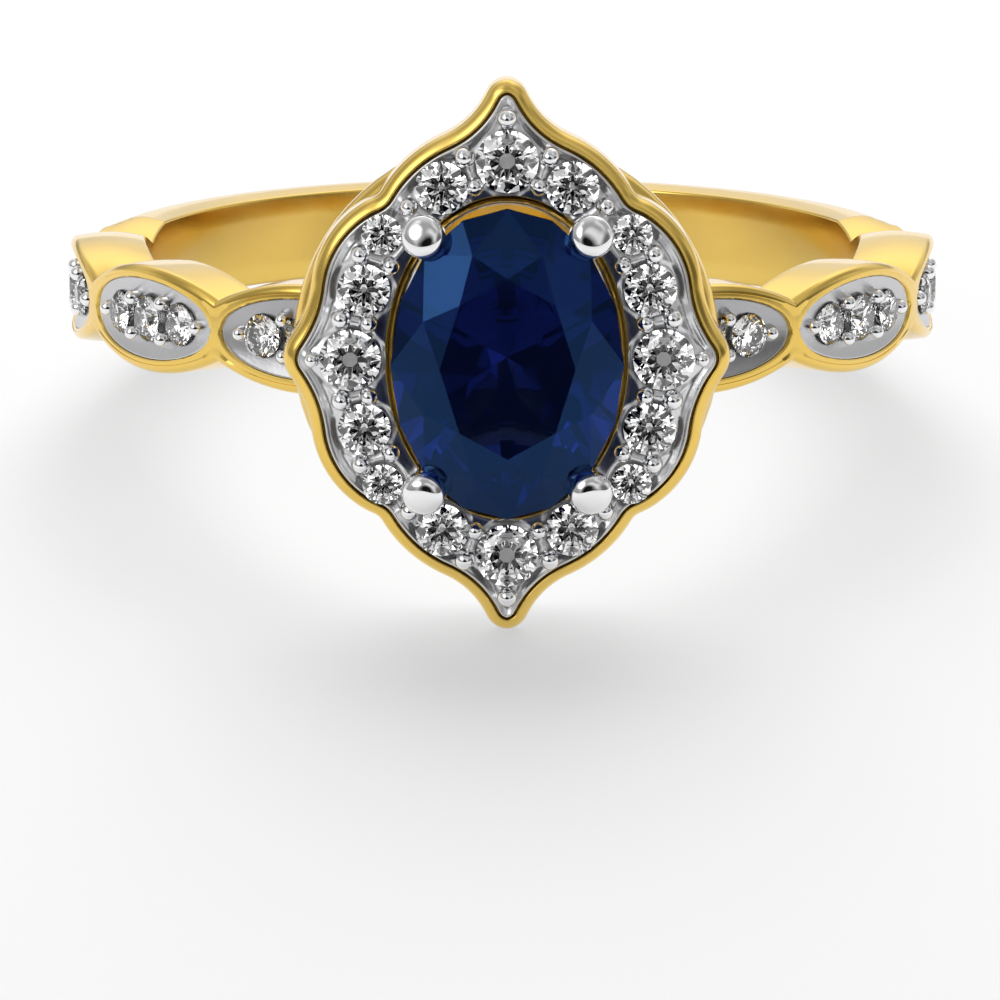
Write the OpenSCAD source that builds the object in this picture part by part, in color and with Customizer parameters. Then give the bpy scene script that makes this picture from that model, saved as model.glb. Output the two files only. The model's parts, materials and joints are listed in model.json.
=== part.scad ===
// Engagement ring: an oval blue stone in a four-pointed lantern halo, on a band of marquise links.
// Every sub-part is drawn in the ring's own frame: finger axis on Z, head toward -Y, centre of the
// finger bore at the origin. at_rest() then lays the ring down on the lower point of the halo and
// the back edge of the band, with the origin under the middle of the ring.

/* [Finger bore] */
// Radius of the bore that the finger goes through
bore_r = 8.65; // [8:0.05:9.5]

/* [Plain band] */
// Thickness of the plain band at the back
band_wall = 1.35; // [1.1:0.05:1.6]
// Half width of the plain band along the finger, at the bore
band_half_w = 1.17; // [1:0.01:1.25]
// Half width of the plain band at its outer corners
band_edge_half_w = 1.0; // [0.9:0.01:1.05]
// Half width of the bridge that closes the band under the head
bridge_half_w = 1.1; // [0.9:0.05:1.2]
// Thickness of that bridge
bridge_wall = 0.7; // [0.5:0.05:0.75]
// Height of the bevel along the plain band's outer corners
band_bevel = 0.12; // [0.1:0.01:0.14]

/* [Marquise links] */
// Angle from one link to the next
link_pitch = 28.5; // [27.5:0.5:29]
// Angle from the head to the end of the first link
first_joint_angle = 42.4; // [42:0.1:43]
// Half width of a link at its middle
link_half_w = 1.27; // [1.2:0.01:1.35]
// Half length of the marquise outline that a link is cut from
link_half_len = 3.5; // [3.4:0.05:3.6]
// Radius of the links' outer face beyond the bore radius
link_face_wall = 2.0; // [1.95:0.01:2.05]
// How far the axis of that face lies behind the bore's axis
link_face_shift = 0.95; // [0.9:0.01:1]
// Radius of the rounder outer face of the last link
end_link_face_r = 8.8; // [8.6:0.1:9]

/* [Link plates] */
// Half length of a pavé plate
plate_half_len = 2.3; // [2.2:0.05:2.35]
// Half width of a pavé plate
plate_half_w = 0.94; // [0.9:0.01:0.96]
// Depth of the plate's surface below the yellow rim
plate_recess = 0.12; // [0.08:0.01:0.15]
// Thickness of a link plate
plate_t = 0.5; // [0.45:0.01:0.55]
// Distance between the stones of a link
link_stone_gap = 1.18; // [1.15:0.01:1.2]
// Girdle radius of a link's middle stone
link_stone_r = 0.55; // [0.5:0.01:0.56]
// Girdle radius of a link's two outer stones
link_small_stone_r = 0.5; // [0.45:0.01:0.52]
// Radius of the bead prongs on a link
link_bead_r = 0.19; // [0.16:0.01:0.2]
// Distance of the paired beads from the middle line of a link
link_bead_side = 0.42; // [0.4:0.01:0.44]

/* [Head heights above the bore] */
// Back face of the halo frame
frame_back = 1.5; // [1.45:0.05:1.55]
// Front edge of the halo frame's rim
frame_front = 2.38; // [2.3:0.02:2.4]
// Surface of the white halo plate
plate_front = 2.55; // [2.5:0.01:2.6]
// Thickness of the white halo plate
halo_plate_t = 0.5; // [0.48:0.01:0.52]
// Girdle of the blue stone
girdle_height = 3.15; // [3.1:0.01:3.2]
// Depth of the step that shows between rim and plate
rim_step = 0.12; // [0.1:0.01:0.14]

/* [Halo outline] */
// Distance from the middle to the upper and lower points
halo_point_y = 6.27; // [6.25:0.01:6.3]
// Distance from the middle to the side points
halo_point_x = 5.02; // [5:0.01:5.05]
// Width of the yellow rim around the plate
rim_w = 0.28; // [0.26:0.01:0.3]
// Half width of the oval opening in the white plate
opening_half_w = 2.7; // [2.68:0.01:2.72]
// Half height of the oval opening in the white plate
opening_half_h = 3.66; // [3.64:0.01:3.68]
// How much narrower the yellow wall stands inside that opening
wall_step = 0.2; // [0.15:0.01:0.22]
// Radius of the bead prongs on the halo
halo_bead_r = 0.22; // [0.19:0.01:0.23]
// Share of a stone's radius that the hole drilled behind it has
back_hole_share = 0.55; // [0.5:0.01:0.6]

/* [Under-gallery] */
// Outer radius of the rounded collar under the halo
collar_r = 4.83; // [4.8:0.01:4.85]
// Radius of the collar's rounded edge
collar_round_r = 0.5; // [0.48:0.01:0.5]
// Radius of the well inside the collar
well_r = 3.45; // [3.4:0.01:3.5]
// Height of the collar's lower edge above the bore
collar_base = 0.3; // [0.28:0.01:0.32]

/* [Blue stone] */
// Half width of the girdle
stone_half_w = 2.6; // [2.55:0.01:2.62]
// Half height of the girdle
stone_half_h = 3.5; // [3.45:0.01:3.52]
// Height of the table above the girdle
stone_crown = 0.62; // [0.6:0.01:0.66]
// Depth of the keel below the girdle
stone_pavilion = 2.2; // [2.1:0.05:2.25]
// Thickness of the girdle
stone_girdle = 0.1; // [0.08:0.01:0.12]
// Size of the table as a share of the girdle
stone_table = 0.58; // [0.56:0.01:0.6]

/* [Claws] */
// Distance of a claw's tip from the middle of the stone, sideways
claw_tip_x = 1.86; // [1.84:0.01:1.88]
// Distance of a claw's tip from the middle of the stone, up or down
claw_tip_y = 2.89; // [2.87:0.01:2.91]
// Distance of a claw's foot from the middle of the stone, sideways
claw_foot_x = 1.36; // [1.34:0.01:1.38]
// Distance of a claw's foot from the middle of the stone, up or down
claw_foot_y = 2.12; // [2.1:0.01:2.14]
// Radius of a claw
claw_r = 0.36; // [0.34:0.01:0.38]
// Radius of the polished dome at the claw's tip
claw_dome_r = 0.5; // [0.46:0.01:0.52]
// Height of the dome's middle above the girdle
claw_dome_height = 0.12; // [0.1:0.01:0.14]
// Width of the open rail that the claws stand on, sideways of a claw's foot
rail_wall = 0.5; // [0.45:0.05:0.55]
// Height of that rail
rail_h = 0.5; // [0.45:0.05:0.55]

/* [Hidden] */
// Facets of the large turned shapes, of round stems and seats, and of beads
fine = 128;
medium = 48;
coarse = 24;
yellow_gold = "gold";
white_gold = "gainsboro";
clear_stone = "azure";
blue_stone = "midnightblue";
// Gap round a set stone, and round a claw where it passes through a plate
fit_gap = 0.01;
claw_gap = 0.02;
// How far a cutting shape runs past what it cuts, and the heights of one that cuts right through
// the ring and of one that cuts a pocket or a seat in the head
overlap = 0.1;
through = 8;
cut_h = 1;
// Points on the ovals of the link plates and of the head
plate_points = 40;
head_points = 64;

links = [0, 1, 2];
link_stones = [-1, 0, 1];
end_link = 2;
side_names = ["right", "left"];
link_names = ["front", "middle", "back"];
stone_names = ["near_head", "centre", "far"];
joint_angle = first_joint_angle + link_pitch;
link_face_r = bore_r + link_face_wall;
band_back_r = bore_r + band_wall;
pocket_depth = plate_recess + plate_t;
// Links and the plain band start inside the bore, which is cut last
link_start_r = bore_r - 0.6;
link_block_h = 3;
// Wall of the band where the last link ends
band_side_wall = 1.5;

// Round stones of one quarter of the halo: [x, y, girdle radius]; a zero puts it on a mirror line.
halo_quarter_stones = [
    [0, 4.47, 0.71],
    [1.46, 3.88, 0.6],
    [2.79, 2.83, 0.46],
    [3.2, 1.58, 0.6],
    [3.51, 0, 0.7],
];
// Beads of one quarter of the halo: [x, y].
halo_quarter_beads = [
    [0, 5.42],
    [0.95, 4.56],
    [0.72, 3.9],
    [2.19, 3.44],
    [3.27, 2.37],
    [2.6, 2.12],
    [3.71, 0.92],
    [3.1, 0.83],
    [4.37, 0],
];
function mirrored(quarter) = [
    for (sx = [1, -1], sy = [1, -1], p = quarter)
        if ((sx > 0 || p.x > 0) && (sy > 0 || p.y > 0)) [sx * p.x, sy * p.y, p[2]]
];
halo_stones = mirrored(halo_quarter_stones);
halo_beads = mirrored(halo_quarter_beads);
claws = [[1, 1], [-1, 1], [1, -1], [-1, -1]];
claw_names = ["claw_upper_right", "claw_upper_left", "claw_lower_right", "claw_lower_left"];

function two_digits(n) = str(n < 10 ? "0" : "", n);
function link_plate_name(side, k) = str("pave_plate_", side_names[side], "_", link_names[k]);
function link_stone_name(side, k, i) =
    str("link_diamond_", side_names[side], "_", link_names[k], "_", stone_names[i]);
halo_stone_names = [for (i = [0 : len(halo_stones) - 1]) str("halo_diamond_", two_digits(i + 1))];

// ---- Rest pose ----
// The halo's lower point and the band's bevelled back edge touch the table.
bevel_r = band_back_r - band_bevel;
bevel_lean = 0.08;
bevel_half_w = band_edge_half_w + bevel_lean;
rest_tilt = atan((halo_point_y - bevel_half_w) / (bore_r + frame_back + bevel_r));
function rest_y(y, z) = y * cos(rest_tilt) + z * sin(rest_tilt);
function rest_z(y, z) = z * cos(rest_tilt) - y * sin(rest_tilt);
table_z = rest_z(bevel_r, -bevel_half_w);
front_y = rest_y(-bore_r - girdle_height - claw_dome_height, -claw_tip_y) - claw_dome_r;
back_y = rest_y(band_back_r, band_edge_half_w - bevel_lean);

module at_rest() {
    translate([0, -(front_y + back_y) / 2, -table_z])
        rotate([-rest_tilt, 0, 0])
            children();
}

// ---- Shared shapes ----
// A frame on a ray of the ring: local Z points outward, local X runs round the ring, Y along the finger.
module on_ray(angle, radius) {
    rotate([0, 0, angle])
        translate([0, -radius, 0])
            rotate([90, 0, 0])
                children();
}

// A frame on the head: local Z points away from the finger, X and Y are the halo's own axes.
module on_head(height) {
    on_ray(0, bore_r + height)
        children();
}

module finger_bore() {
    cylinder(r = bore_r, h = through, center = true, $fn = fine);
}

// Marquise outline: two equal arcs that meet in a point at each end.
module marquise(half_len, half_w) {
    arc_r = (half_len * half_len + half_w * half_w) / (2 * half_w);
    intersection() {
        translate([0, half_w - arc_r])
            circle(r = arc_r, $fn = fine);
        translate([0, arc_r - half_w])
            circle(r = arc_r, $fn = fine);
    }
}

function oval(half_w, half_h, n) = [
    for (i = [0 : n - 1])
        let (a = 360 * i / n) [half_w * cos(a), half_h * sin(a)]
];

// Centre of the circle through three points, and points along that circle from a over b to c.
function circle_centre(a, b, c) =
    let (
        d = 2 * (a.x * (b.y - c.y) + b.x * (c.y - a.y) + c.x * (a.y - b.y)),
        x = ((a * a) * (b.y - c.y) + (b * b) * (c.y - a.y) + (c * c) * (a.y - b.y)) / d,
        y = ((a * a) * (c.x - b.x) + (b * b) * (a.x - c.x) + (c * c) * (b.x - a.x)) / d
    ) [x, y];
function turn(p, q) = p.x * q.y - p.y * q.x;
function arc(a, b, c, n) =
    let (
        o = circle_centre(a, b, c),
        r = norm(a - o),
        start = atan2(a.y - o.y, a.x - o.x),
        end = atan2(c.y - o.y, c.x - o.x),
        left = turn(b - a, c - b) > 0,
        sweep = left ? (end - start + 720) % 360 : -((start - end + 720) % 360)
    ) [for (i = [0 : n - 1]) o + r * [cos(start + sweep * i / n), sin(start + sweep * i / n)]];

// ---- Halo outline: ogee points joined by two lobes and a small notch in each quarter ----
side_in = [4.88, 0.42];
lobe_low = [4.4, 1.6];
notch_low = [3.06, 3.57];
notch_high = [2.8, 3.78];
lobe_high = [1.37, 5.02];
point_in = [0.42, 6.03];
side_neck = [4.6, 0.9];
lobe_middle = [4.0, 2.74];
notch_middle = [2.88, 3.65];
upper_lobe_middle = [2.15, 4.54];
point_neck = [0.76, 5.48];
function flip_x(p) = [-p.x, p.y];
function flip_y(p) = [p.x, -p.y];
// Points on a lobe or the tip, on a shorter arc, and on the notch
long_arc = 8;
short_arc = 6;
notch_arc = 3;
quarter_outline = concat(
    arc(side_in, side_neck, lobe_low, short_arc),
    arc(lobe_low, lobe_middle, notch_low, long_arc),
    arc(notch_low, notch_middle, notch_high, notch_arc),
    arc(notch_high, upper_lobe_middle, lobe_high, short_arc),
    arc(lobe_high, point_neck, point_in, short_arc)
);
function backwards(points) = [for (i = [len(points) - 1 : -1 : 0]) points[i]];
upper_outline = concat(
    quarter_outline,
    arc(point_in, [0, halo_point_y], flip_x(point_in), long_arc),
    [flip_x(point_in)],
    backwards([for (i = [1 : len(quarter_outline) - 1]) flip_x(quarter_outline[i])]),
    arc(flip_x(side_in), [-halo_point_x, 0], -side_in, short_arc)
);
halo_outline = concat(upper_outline, -upper_outline);

// An outline moved inward by d, each point along the normal of its neighbours.
function inset(points, d) =
    let (n = len(points))
    [
        for (i = [0 : n - 1])
            let (along = points[(i + 1) % n] - points[(i + n - 1) % n], unit = along / norm(along))
                points[i] + d * [-unit.y, unit.x]
    ];

// ---- Cut stones: a standard brilliant, with its table on +Z and its girdle on the XY plane ----
// rx and ry are the girdle's half sizes, table is the table's share of them.
function ring_of(rx, ry, share, z, count, shift) = [
    for (i = [0 : count - 1])
        let (a = 360 * (i + shift) / count) [rx * share * cos(a), ry * share * sin(a), z]
];
// star and lower are the shares where the star and lower-girdle facets meet the mains.
star = 0.78;
lower = 0.26;
half_facet = 22.5;
module brilliant(rx, ry, crown, pavilion, girdle, table) {
    star_z = crown * (1 - star * cos(half_facet)) / (1 - table);
    lower_z = -pavilion * (1 - lower * cos(half_facet));
    points = concat(
        ring_of(rx, ry, table, crown + girdle / 2, 8, 0),
        ring_of(rx, ry, star, star_z + girdle / 2, 8, 0.5),
        ring_of(rx, ry, 1, girdle / 2, 16, 0),
        ring_of(rx, ry, 1, -girdle / 2, 16, 0),
        ring_of(rx, ry, lower, lower_z - girdle / 2, 8, 0.5),
        [[0, 0, -pavilion - girdle / 2]]
    );
    function t(i) = i % 8;
    function s(i) = 8 + i % 8;
    function g(i) = 16 + i % 16;
    function u(i) = 32 + i % 16;
    function l(i) = 48 + i % 8;
    culet = 56;
    eight = [0 : 7];
    faces = concat(
        [[for (i = [7 : -1 : 0]) t(i)]],
        [for (i = eight) [t(i), t(i + 1), s(i)]],
        [for (i = eight) [t(i), s(i), g(2 * i)]],
        [for (i = eight) [t(i), g(2 * i), s(i + 7)]],
        [for (i = eight) [s(i), g(2 * i + 1), g(2 * i)]],
        [for (i = eight) [s(i), g(2 * i + 2), g(2 * i + 1)]],
        [for (i = [0 : 15]) [g(i), g(i + 1), u(i + 1)]],
        [for (i = [0 : 15]) [g(i), u(i + 1), u(i)]],
        [for (i = eight) [l(i), u(2 * i), u(2 * i + 1)]],
        [for (i = eight) [l(i), u(2 * i + 1), u(2 * i + 2)]],
        [for (i = eight) [culet, u(2 * i), l(i)]],
        [for (i = eight) [culet, l(i + 7), u(2 * i)]]
    );
    polyhedron(points, faces);
}

// Small round brilliant, in the proportions of its girdle radius.
round_crown = 0.3;
round_pavilion = 0.84;
round_girdle = 0.05;
round_table = 0.56;
module round_stone(r) {
    color(clear_stone)
        brilliant(r, r, round_crown * r, round_pavilion * r, round_girdle * r, round_table);
}

// ---- Band ----
function link_angle(k) = first_joint_angle + (k - 0.5) * link_pitch;

// The last link's rounder face leaves the common face at the joint between the last two links,
// turned inward there by a small angle.
end_face_turn = 1;
common_joint_r = sqrt(pow(link_face_r, 2) - pow(link_face_shift * sin(joint_angle), 2))
    - link_face_shift * cos(joint_angle);
joint_point = common_joint_r * [sin(joint_angle), -cos(joint_angle)];
face_normal_angle = atan2(joint_point.y - link_face_shift, joint_point.x) + end_face_turn;
end_face_centre = joint_point - end_link_face_r * [cos(face_normal_angle), sin(face_normal_angle)];

// Solid inside the outer face of link k, drawn in by depth.
module inside_face(k, depth) {
    last = k == end_link;
    centre = last ? end_face_centre : [0, link_face_shift];
    face_r = last ? end_link_face_r : link_face_r;
    translate([centre.x, centre.y, 0])
        cylinder(r = face_r - depth, h = through, center = true, $fn = fine);
}

// Wedge of the ring between two angles from the head.
function ray(angle) = [sin(angle), -cos(angle)];
module sector(start, end) {
    reach = 3 * bore_r;
    linear_extrude(height = through, center = true)
        polygon([[0, 0], reach * ray(start), reach * ray((start + end) / 2), reach * ray(end)]);
}

// Space outside the rounder face of the last link, from a little before it to a little behind it.
sector_before = 5;
sector_behind = 20;
module outside_end_face() {
    difference() {
        sector(joint_angle - sector_before, joint_angle + link_pitch + sector_behind);
        translate([end_face_centre.x, end_face_centre.y, 0])
            cylinder(r = end_link_face_r, h = 2 * through, center = true, $fn = fine);
    }
}

// The three links of the right side: marquise prisms under one common face, with the last one cut rounder.
module link_row() {
    difference() {
        intersection() {
            for (k = links)
                on_ray(link_angle(k), link_start_r)
                    linear_extrude(height = link_block_h)
                        marquise(link_half_len, link_half_w);
            translate([0, link_face_shift, 0])
                cylinder(r = link_face_r, h = through, center = true, $fn = fine);
        }
        outside_end_face();
    }
}

// Space of a pavé plate: a prism with an oval outline, between two depths below the face.
module plate_space(k, depth_out, depth_in) {
    difference() {
        intersection() {
            on_ray(link_angle(k), link_start_r)
                linear_extrude(height = link_block_h)
                    polygon(oval(plate_half_len, plate_half_w, plate_points));
            inside_face(k, depth_out);
        }
        inside_face(k, depth_in);
    }
}

// The band's section, with bevelled outer corners, turned round an axis that lies forward of the
// bore's, so that the wall is thicker where the links begin.
side_joint_angle = first_joint_angle + 2 * link_pitch;
band_shift = (band_side_wall - band_wall) / (1 + cos(side_joint_angle));
band_taper_start = bore_r + 0.7;
module band_ring() {
    outer_r = band_back_r + band_shift;
    translate([0, -band_shift, 0])
        rotate_extrude($fn = fine)
            polygon([
                [link_start_r, -band_half_w],
                [band_taper_start, -band_half_w],
                [outer_r - band_bevel, -bevel_half_w],
                [outer_r, bevel_lean - band_edge_half_w],
                [outer_r, band_edge_half_w - bevel_lean],
                [outer_r - band_bevel, bevel_half_w],
                [band_taper_start, band_half_w],
                [link_start_r, band_half_w],
            ]);
}

// The plain band starts as a fourth, plain marquise behind the last link.
band_start_angle = link_angle(3);
module back_band() {
    intersection() {
        band_ring();
        union() {
            sector(band_start_angle, 360 - band_start_angle);
            for (side = [0, 1])
                mirror([side, 0, 0])
                    on_ray(band_start_angle, link_start_r)
                        linear_extrude(height = link_block_h)
                            marquise(link_half_len, link_half_w);
        }
    }
}

// The bridge closes the ring between the first two links, inside the head.
bridge_half_len = 4;
bridge_block = 3;
module bridge() {
    intersection() {
        cylinder(r = bore_r + bridge_wall, h = 2 * bridge_half_w, center = true, $fn = fine);
        translate([-bridge_half_len, 1 - bore_r - bridge_block, -bridge_half_w])
            cube([2 * bridge_half_len, bridge_block, 2 * bridge_half_w]);
    }
}

// The first links end at a round cut under the stone.
link_end_r = well_r - 0.8;
module band() {
    color(yellow_gold)
        difference() {
            union() {
                back_band();
                bridge();
                difference() {
                    for (side = [0, 1])
                        mirror([side, 0, 0])
                            link_row();
                    on_head(bridge_wall)
                        cylinder(r = link_end_r, h = link_block_h, $fn = fine);
                }
            }
            finger_bore();
            for (side = [0, 1], k = links)
                mirror([side, 0, 0])
                    plate_space(k, -overlap, pocket_depth);
        }
}

// ---- Pavé plates of the links ----
// Distance of link k's outer face from the bore's axis, on the ray at an angle from the link's middle.
function face_reach(k, offset) =
    let (
        last = k == end_link,
        centre = last ? end_face_centre : [0, link_face_shift],
        face_r = last ? end_link_face_r : link_face_r,
        a = link_angle(k) + offset,
        ray = [sin(a), -cos(a)],
        along = centre * ray
    ) along + sqrt(along * along - centre * centre + face_r * face_r);
link_stone_seat_r = bore_r + 1.3;
link_stone_step = asin(link_stone_gap / link_stone_seat_r);
// Places of a link's beads, in stone gaps from its middle: one at each end, and pairs between the stones.
end_beads = [-1.52, 1.52];
paired_beads = [-0.5, 0.5];

// Places children on link k, steps stone gaps from its middle, on the surface of its plate.
module on_plate(k, steps) {
    offset = steps * link_stone_step;
    on_ray(link_angle(k) + offset, face_reach(k, offset) - plate_recess)
        children();
}

module link_bead() {
    sphere(r = link_bead_r, $fn = coarse);
}

module pave_plate(side, k) {
    color(white_gold)
        mirror([side, 0, 0]) {
            difference() {
                plate_space(k, plate_recess, pocket_depth);
                for (i = link_stones)
                    on_plate(k, i)
                        translate([0, 0, -plate_t])
                            cylinder(r = stone_radius(i) + fit_gap, h = link_block_h, $fn = medium);
            }
            intersection() {
                union() {
                    for (steps = end_beads)
                        on_plate(k, steps)
                            link_bead();
                    for (steps = paired_beads, up = [-1, 1])
                        on_plate(k, steps)
                            translate([0, up * link_bead_side, 0])
                                link_bead();
                }
                inside_face(k, plate_recess - link_bead_r - fit_gap);
            }
        }
}

function stone_radius(i) = i == 0 ? link_stone_r : link_small_stone_r;

module link_stone(side, k, i) {
    mirror([side, 0, 0])
        on_plate(k, link_stones[i])
            round_stone(stone_radius(link_stones[i]));
}

// ---- Head ----
// The collar's flat upper and lower edges run this far past the middle of its rounding.
collar_edge = 0.3;
module gallery_collar() {
    collar_h = frame_back - collar_base;
    round_x = collar_r - collar_round_r;
    color(yellow_gold)
        difference() {
            on_head(collar_base)
                rotate_extrude($fn = fine) {
                    translate([well_r, 0])
                        square([round_x - well_r + collar_edge, collar_h]);
                    translate([round_x, collar_h / 2])
                        circle(r = collar_round_r, $fn = medium);
                }
            for (side = [0, 1])
                mirror([side, 0, 0])
                    link_row();
        }
}

// Leaning rods along the four claws, from the rail up past the girdle.
foot_height = bridge_wall;
claw_rise = girdle_height + claw_dome_height - foot_height;
claw_run = norm([claw_tip_x - claw_foot_x, claw_tip_y - claw_foot_y]);
claw_lean = atan(claw_run / claw_rise);
claw_bearing = atan2(claw_tip_y - claw_foot_y, claw_tip_x - claw_foot_x);
claw_len = norm([claw_run, claw_rise]);
module on_claw(quarter) {
    mirror([quarter.x < 0 ? 1 : 0, 0, 0])
        mirror([0, 0, quarter.y < 0 ? 1 : 0])
            on_head(foot_height)
                translate([claw_foot_x, claw_foot_y, 0])
                    rotate([0, 0, claw_bearing])
                        rotate([0, claw_lean, 0])
                            children();
}

module claw_rod(quarter, grow) {
    on_claw(quarter)
        cylinder(r = claw_r + grow, h = claw_len, $fn = medium);
}

module claw_rods(grow) {
    for (quarter = claws)
        claw_rod(quarter, grow);
}

module claw(quarter) {
    color(white_gold)
        difference() {
            union() {
                claw_rod(quarter, 0);
                on_claw(quarter)
                    translate([0, 0, claw_len])
                        sphere(r = claw_dome_r, $fn = medium);
            }
            blue_stone_shape();
        }
}

// The rail is a little wider at its upper and lower ends, and it stands on the bridge.
rail_end_wall = 0.7;
rail_side_inset = 0.05;
rail_end_gap = 0.15;
module claw_rail() {
    outer = oval(claw_foot_x + rail_wall, claw_foot_y + rail_end_wall, medium);
    inner = oval(claw_foot_x - rail_side_inset, claw_foot_y + rail_end_gap, medium);
    color(white_gold)
        difference() {
            on_head(foot_height - overlap)
                linear_extrude(height = rail_h)
                    difference() {
                        polygon(outer);
                        polygon(inner);
                    }
            cylinder(r = bore_r + bridge_wall, h = through, center = true, $fn = fine);
            claw_rods(0);
        }
}

// Frame of the halo: the outer wall and rim, and a floor with a drilled hole behind each stone.
module halo_frame() {
    floor_h = plate_front - halo_plate_t;
    color(yellow_gold)
        difference() {
            on_head(frame_back)
                linear_extrude(height = frame_front - frame_back)
                    polygon(halo_outline);
            on_head(floor_h)
                linear_extrude(height = cut_h)
                    polygon(inset(halo_outline, rim_w));
            on_head(0)
                linear_extrude(height = through)
                    polygon(oval(opening_half_w - wall_step, opening_half_h - wall_step, head_points));
            for (stone = halo_stones)
                on_head(frame_back - overlap)
                    translate([stone.x, stone.y, 0])
                        cylinder(r = back_hole_share * stone[2], h = cut_h, $fn = medium);
            claw_rods(claw_gap);
        }
}

// Width of the step round the plate's edge.
step_w = 0.06;
module halo_plate() {
    color(white_gold) {
        difference() {
            on_head(plate_front - halo_plate_t)
                linear_extrude(height = halo_plate_t)
                    difference() {
                        polygon(inset(halo_outline, rim_w));
                        polygon(oval(opening_half_w, opening_half_h, head_points));
                    }
            on_head(frame_front - rim_step)
                linear_extrude(height = cut_h)
                    difference() {
                        polygon(inset(halo_outline, rim_w - overlap));
                        polygon(inset(halo_outline, rim_w + step_w));
                    }
            for (stone = halo_stones)
                on_head(plate_front - halo_plate_t - overlap)
                    translate([stone.x, stone.y, 0])
                        cylinder(r = stone[2] + fit_gap, h = cut_h, $fn = medium);
            claw_rods(claw_gap);
        }
        for (bead = halo_beads)
            on_head(plate_front)
                translate([bead.x, bead.y, 0])
                    sphere(r = halo_bead_r, $fn = coarse);
    }
}

module halo_stone(i) {
    stone = halo_stones[i];
    on_head(plate_front)
        translate([stone.x, stone.y, 0])
            round_stone(stone[2]);
}

module blue_stone_shape() {
    on_head(girdle_height)
        brilliant(stone_half_w, stone_half_h, stone_crown, stone_pavilion, stone_girdle, stone_table);
}

module blue_stone() {
    color(blue_stone)
        blue_stone_shape();
}

at_rest() band();
at_rest() gallery_collar();
at_rest() halo_frame();
at_rest() halo_plate();
at_rest() claw_rail();
at_rest() blue_stone();
for (i = [0 : 3])
    at_rest() claw(claws[i]);
for (i = [0 : len(halo_stones) - 1])
    at_rest() halo_stone(i);
for (side = [0, 1], k = links)
    at_rest() pave_plate(side, k);
for (side = [0, 1], k = links, i = [0 : 2])
    at_rest() link_stone(side, k, i);
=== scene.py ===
"""Engagement ring: polished yellow gold, satin white plates, diamonds and an oval sapphire.

Shapes are written in the ring's own frame, in millimetres: finger axis on Z, head toward -Y, bore
centre at the origin. RING takes them to the frame of the CAD model, where the ring lies on the table.
"""
import json
import math

import bpy
import numpy as np
from mathutils import Matrix, Vector


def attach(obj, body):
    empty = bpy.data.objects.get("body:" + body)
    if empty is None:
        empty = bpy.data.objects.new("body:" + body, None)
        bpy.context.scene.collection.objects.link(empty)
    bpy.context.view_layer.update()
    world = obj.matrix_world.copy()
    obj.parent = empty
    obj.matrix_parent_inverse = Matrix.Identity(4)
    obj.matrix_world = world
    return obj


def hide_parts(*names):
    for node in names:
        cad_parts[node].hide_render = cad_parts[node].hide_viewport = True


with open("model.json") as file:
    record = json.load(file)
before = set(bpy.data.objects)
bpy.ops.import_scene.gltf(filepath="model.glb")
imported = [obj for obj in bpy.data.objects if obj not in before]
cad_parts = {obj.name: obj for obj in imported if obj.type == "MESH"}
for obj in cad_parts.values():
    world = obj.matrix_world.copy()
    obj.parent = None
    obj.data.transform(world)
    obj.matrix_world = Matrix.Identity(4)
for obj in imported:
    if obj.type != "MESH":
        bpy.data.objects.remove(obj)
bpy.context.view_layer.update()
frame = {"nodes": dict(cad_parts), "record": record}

MM = 0.001
BORE = next(m for m in frame["record"]["mounts"] if m["name"] == "finger_bore")
BORE_R = BORE["dims"]["r_mm"]
TILT = math.atan2(BORE["axis"][1], BORE["axis"][2])
RING = Matrix.Translation(BORE["pos_m"]) @ Matrix.Rotation(-TILT, 4, "X") @ Matrix.Scale(MM, 4)
NODES = frame["nodes"]

# Link sizes, as in part.scad
PITCH, FIRST_JOINT = 28.5, 42.4
LINK_W, LINK_LEN = 1.27, 3.5
FACE_SHIFT, FACE_R = 0.95, BORE_R + 2.0
END_FACE_R, END_TURN = 8.8, 1.0
PLATE_LEN, PLATE_W = 2.3, 0.94
LINK_STONE_GAP, LINK_STONE_R, LINK_SMALL_R = 1.18, 0.55, 0.5
LINK_RECESS, LINK_BEAD_R, LINK_BEAD_SIDE = 0.12, 0.19, 0.42
# Turn from one link stone to the next, whose girdles stand this far above the bore
LINK_STONE_H = 1.3
LINK_STEP = math.asin(LINK_STONE_GAP / (BORE_R + LINK_STONE_H))
# Plain band
BAND_W, BAND_EDGE_W, BAND_WALL, BAND_SIDE = 1.17, 1.0, 1.35, 1.5
BRIDGE_W, BRIDGE_WALL = 1.1, 0.7
# Places round the band, in degrees from the head: end of the thin bridge, full height of the first
# link, end of the bridge's width, start of the plain band and end of its blend from the last link
BRIDGE_END, LINK_FULL, BRIDGE_WIDE_END = 14, 17.5, 28
PLAIN_START, PLAIN_BLEND_END = 99.4, 106
# The sides bulge by SIDE_CROWN at mid wall, fading in between two places round the band
SIDE_CROWN, CROWN_START, CROWN_FULL = 0.1, 45, 80
# Rounded edges at the bore, on the links and on the plain band, and where the band begins to taper
INNER_ROUND, LINK_ROUND, BAND_ROUND, TAPER_START = 0.07, 0.2, 0.18, 0.7
# Fall of the outer face from its middle to its edges
LINK_FALL, BAND_FALL = 0.025, 0.05
# Pocket under a link plate, and the least metal left between it and the bore
POCKET_DEPTH, POCKET_FLOOR = 0.86, 0.22
# Sections along the band: coarse and fine steps, and where the fine ones end
COARSE_STEP, FINE_STEP, FINE_END = 1.0, 0.25, 114
# Link plates: how far they reach under the rim, their back, their dish and the roll at their edge
PLATE_REACH, PLATE_DEPTH, PLATE_TOP, PLATE_DISH, PLATE_ROLL = 1.015, 0.82, 0.05, 0.2, 0.12
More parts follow.
